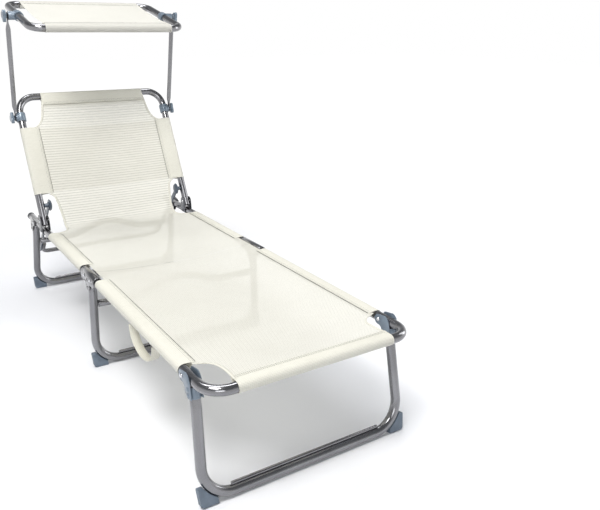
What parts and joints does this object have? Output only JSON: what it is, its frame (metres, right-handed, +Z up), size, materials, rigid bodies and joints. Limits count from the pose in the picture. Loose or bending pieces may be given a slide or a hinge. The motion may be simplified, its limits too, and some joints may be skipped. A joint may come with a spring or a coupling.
{
  "type": "folding sun lounger with canopy",
  "caption": "Folding sun lounger with a tubular steel frame, sheer cloth panels, a backrest propped by a hoop and a tilting canopy.",
  "frame": {"origin": "on the floor, below the middle of the whole object's bounding box", "axes": "+Y from the foot end to the head end, +X to the right of someone looking along +Y, +Z up"},
  "size_m": [0.6126, 1.6084, 1.0611],
  "materials": {
    "tube_steel": "metallic gunmetal powder coat, satin",
    "bracket_steel": "blue-grey powder coat, satin",
    "bright_steel": "plated, bright",
    "moulding": "moulded, matte blue-grey",
    "textilene": "cream ribbed mesh, slightly translucent",
    "webbing": "woven strap"
  },
  "bodies": {
    "seat": {"seat_fabric": "textilene", "seat_rail_left": "tube_steel", "seat_rail_right": "tube_steel", "rail_plug_left": "moulding", "rail_plug_right": "moulding", "back_bracket_left": "bracket_steel", "back_bracket_right": "bracket_steel", "head_leg_pivot_left": "bright_steel", "head_leg_pivot_right": "bright_steel", "seat_fold_pivot_left": "bright_steel", "seat_fold_pivot_right": "bright_steel"},
    "mid_leg": {"mid_leg_frame": "tube_steel", "mid_leg_crossbar": "tube_steel", "mid_leg_cap_left": "moulding", "mid_leg_cap_right": "moulding", "saddle_left": "bracket_steel", "saddle_right": "bracket_steel"},
    "foot_section": {"foot_frame": "tube_steel", "foot_fabric": "textilene", "carry_strap": "webbing", "foot_fold_pivot_left": "bright_steel", "foot_fold_pivot_right": "bright_steel", "foot_leg_pivot_left": "bright_steel", "foot_leg_pivot_right": "bright_steel"},
    "foot_leg": {"foot_leg_frame": "tube_steel", "foot_leg_cap_left": "moulding", "foot_leg_cap_right": "moulding", "foot_leg_bracket_left": "bracket_steel", "foot_leg_bracket_right": "bracket_steel"},
    "head_leg": {"head_leg_frame": "tube_steel", "head_leg_crossbar": "tube_steel", "head_leg_cap_left": "moulding", "head_leg_cap_right": "moulding", "head_leg_bracket_left": "bracket_steel", "head_leg_bracket_right": "bracket_steel"},
    "back_pivots": {"back_pivot_left": "bright_steel", "back_pivot_right": "bright_steel"},
    "backrest": {"backrest_frame": "tube_steel", "backrest_fabric": "textilene", "lower_clamp_left": "moulding", "lower_clamp_right": "moulding"},
    "hoop_pivots": {"hoop_knob_left": "bracket_steel", "hoop_knob_right": "bracket_steel"},
    "hoop": {"hoop_bar": "tube_steel", "hoop_arm_left": "bracket_steel", "hoop_arm_right": "bracket_steel"},
    "struts": {"canopy_strut_left": "tube_steel", "canopy_strut_right": "tube_steel", "lower_screw_left": "bright_steel", "lower_screw_right": "bright_steel"},
    "canopy": {"canopy_frame": "tube_steel", "canopy_fabric": "textilene", "upper_clamp_left": "moulding", "upper_clamp_right": "moulding"},
    "upper_knob_left": {"upper_wing_knob_left": "moulding"},
    "upper_knob_right": {"upper_wing_knob_right": "moulding"},
    "lower_nut_left": {"lower_wing_nut_left": "moulding"},
    "lower_nut_right": {"lower_wing_nut_right": "moulding"}
  },
  "joints": [
    {"name": "back_fold", "type": "hinge", "parent": "back_pivots", "child": "seat", "pos_m": [0, 0.52478, 0.32688], "axis": [-1, 0, 0], "range_deg": [0, 117.5], "deforming": ["carry_strap"]},
    {"name": "back_recline", "type": "hinge", "parent": "back_pivots", "child": "backrest", "pos_m": [0, 0.52478, 0.32688], "axis": [1, 0, 0], "range_deg": [-62.5, 0]},
    {"name": "mid_fold", "type": "hinge", "parent": "seat", "child": "mid_leg", "pos_m": [0, 0.01591, 0.2928], "axis": [1, 0, 0], "range_deg": [0, 87.1]},
    {"name": "foot_fold", "type": "hinge", "parent": "mid_leg", "child": "foot_section", "pos_m": [0, -0.03849, 0.2928], "axis": [1, 0, 0], "range_deg": [0, 87.1]},
    {"name": "foot_leg_fold", "type": "hinge", "parent": "foot_section", "child": "foot_leg", "pos_m": [0, -0.68378, 0.2928], "axis": [1, 0, 0], "range_deg": [0, 99.9]},
    {"name": "head_leg_fold", "type": "hinge", "parent": "seat", "child": "head_leg", "pos_m": [0, 0.64197, 0.2928], "axis": [-1, 0, 0], "range_deg": [0, 103.2]},
    {"name": "hoop_stow", "type": "hinge", "parent": "backrest", "child": "hoop_pivots", "pos_m": [0, 0.54972, 0.37478], "axis": [1, 0, 0], "range_deg": [0, 98.1]},
    {"name": "hoop_swing", "type": "hinge", "parent": "hoop_pivots", "child": "hoop", "pos_m": [0, 0.54972, 0.37478], "axis": [1, 0, 0], "range_deg": [0, 66.9]},
    {"name": "canopy_arm", "type": "hinge", "parent": "backrest", "child": "struts", "pos_m": [0, 0.70163, 0.66661], "axis": [1, 0, 0], "range_deg": [-84.3, 0]},
    {"name": "canopy_tilt", "type": "hinge", "parent": "struts", "child": "canopy", "pos_m": [0, 0.62491, 1.01126], "axis": [1, 0, 0], "range_deg": [-30, 30]},
    {"name": "upper_knob_left_turn", "type": "hinge", "parent": "canopy", "child": "upper_knob_left", "pos_m": [-0.3, 0.62491, 1.01126], "axis": [1, 0, 0], "range_deg": [0, 360]},
    {"name": "upper_knob_right_turn", "type": "hinge", "parent": "canopy", "child": "upper_knob_right", "pos_m": [0.3, 0.62491, 1.01126], "axis": [1, 0, 0], "range_deg": [0, 360]},
    {"name": "lower_nut_left_turn", "type": "hinge", "parent": "struts", "child": "lower_nut_left", "pos_m": [-0.3, 0.70163, 0.66661], "axis": [1, 0, 0], "range_deg": [0, 360]},
    {"name": "lower_nut_right_turn", "type": "hinge", "parent": "struts", "child": "lower_nut_right", "pos_m": [0.3, 0.70163, 0.66661], "axis": [1, 0, 0], "range_deg": [0, 360]}
  ],
  "couplings": [
    {"joint": "mid_fold", "follows": "back_fold", "ratio": 0.74043},
    {"joint": "foot_fold", "follows": "back_fold", "ratio": 0.74043},
    {"joint": "foot_leg_fold", "follows": "back_fold", "ratio": 0.84936},
    {"joint": "head_leg_fold", "follows": "back_fold", "ratio": 0.87702},
    {"joint": "hoop_stow", "follows": "back_fold", "ratio": 0.83404},
    {"joint": "canopy_arm", "follows": "back_fold", "ratio": -0.7166},
    {"joint": "hoop_swing", "follows": "back_recline", "ratio": -1.0689}
  ]
}
